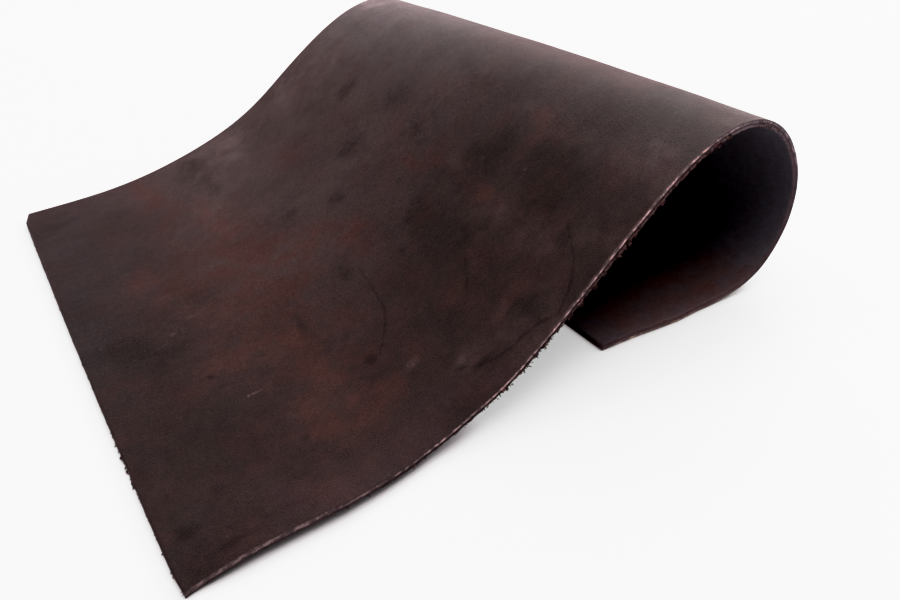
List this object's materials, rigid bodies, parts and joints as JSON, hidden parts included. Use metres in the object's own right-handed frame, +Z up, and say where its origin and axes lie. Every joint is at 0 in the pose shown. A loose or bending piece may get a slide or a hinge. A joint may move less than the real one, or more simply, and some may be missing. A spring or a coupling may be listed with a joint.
{
  "type": "cut panel of leather, turned over on itself",
  "caption": "Rectangular cut panel of dark brown pull-up leather, lying flat at one end and rolled back under itself into an open loop at the other.",
  "frame": {"origin": "on the surface the panel lies on, under the middle of its bounding box", "axes": "+Z up, +X along the panel from its lying left end to its loop, +Y across its width from the near cut to the far cut"},
  "size_m": [0.1892, 0.226, 0.056],
  "materials": {
    "leather": "waxed, mottled dark brown grain side with a soft sheen, and a duller flesh side"
  },
  "bodies": {
    "root": {"leather_panel": "leather"}
  },
  "joints": []
}
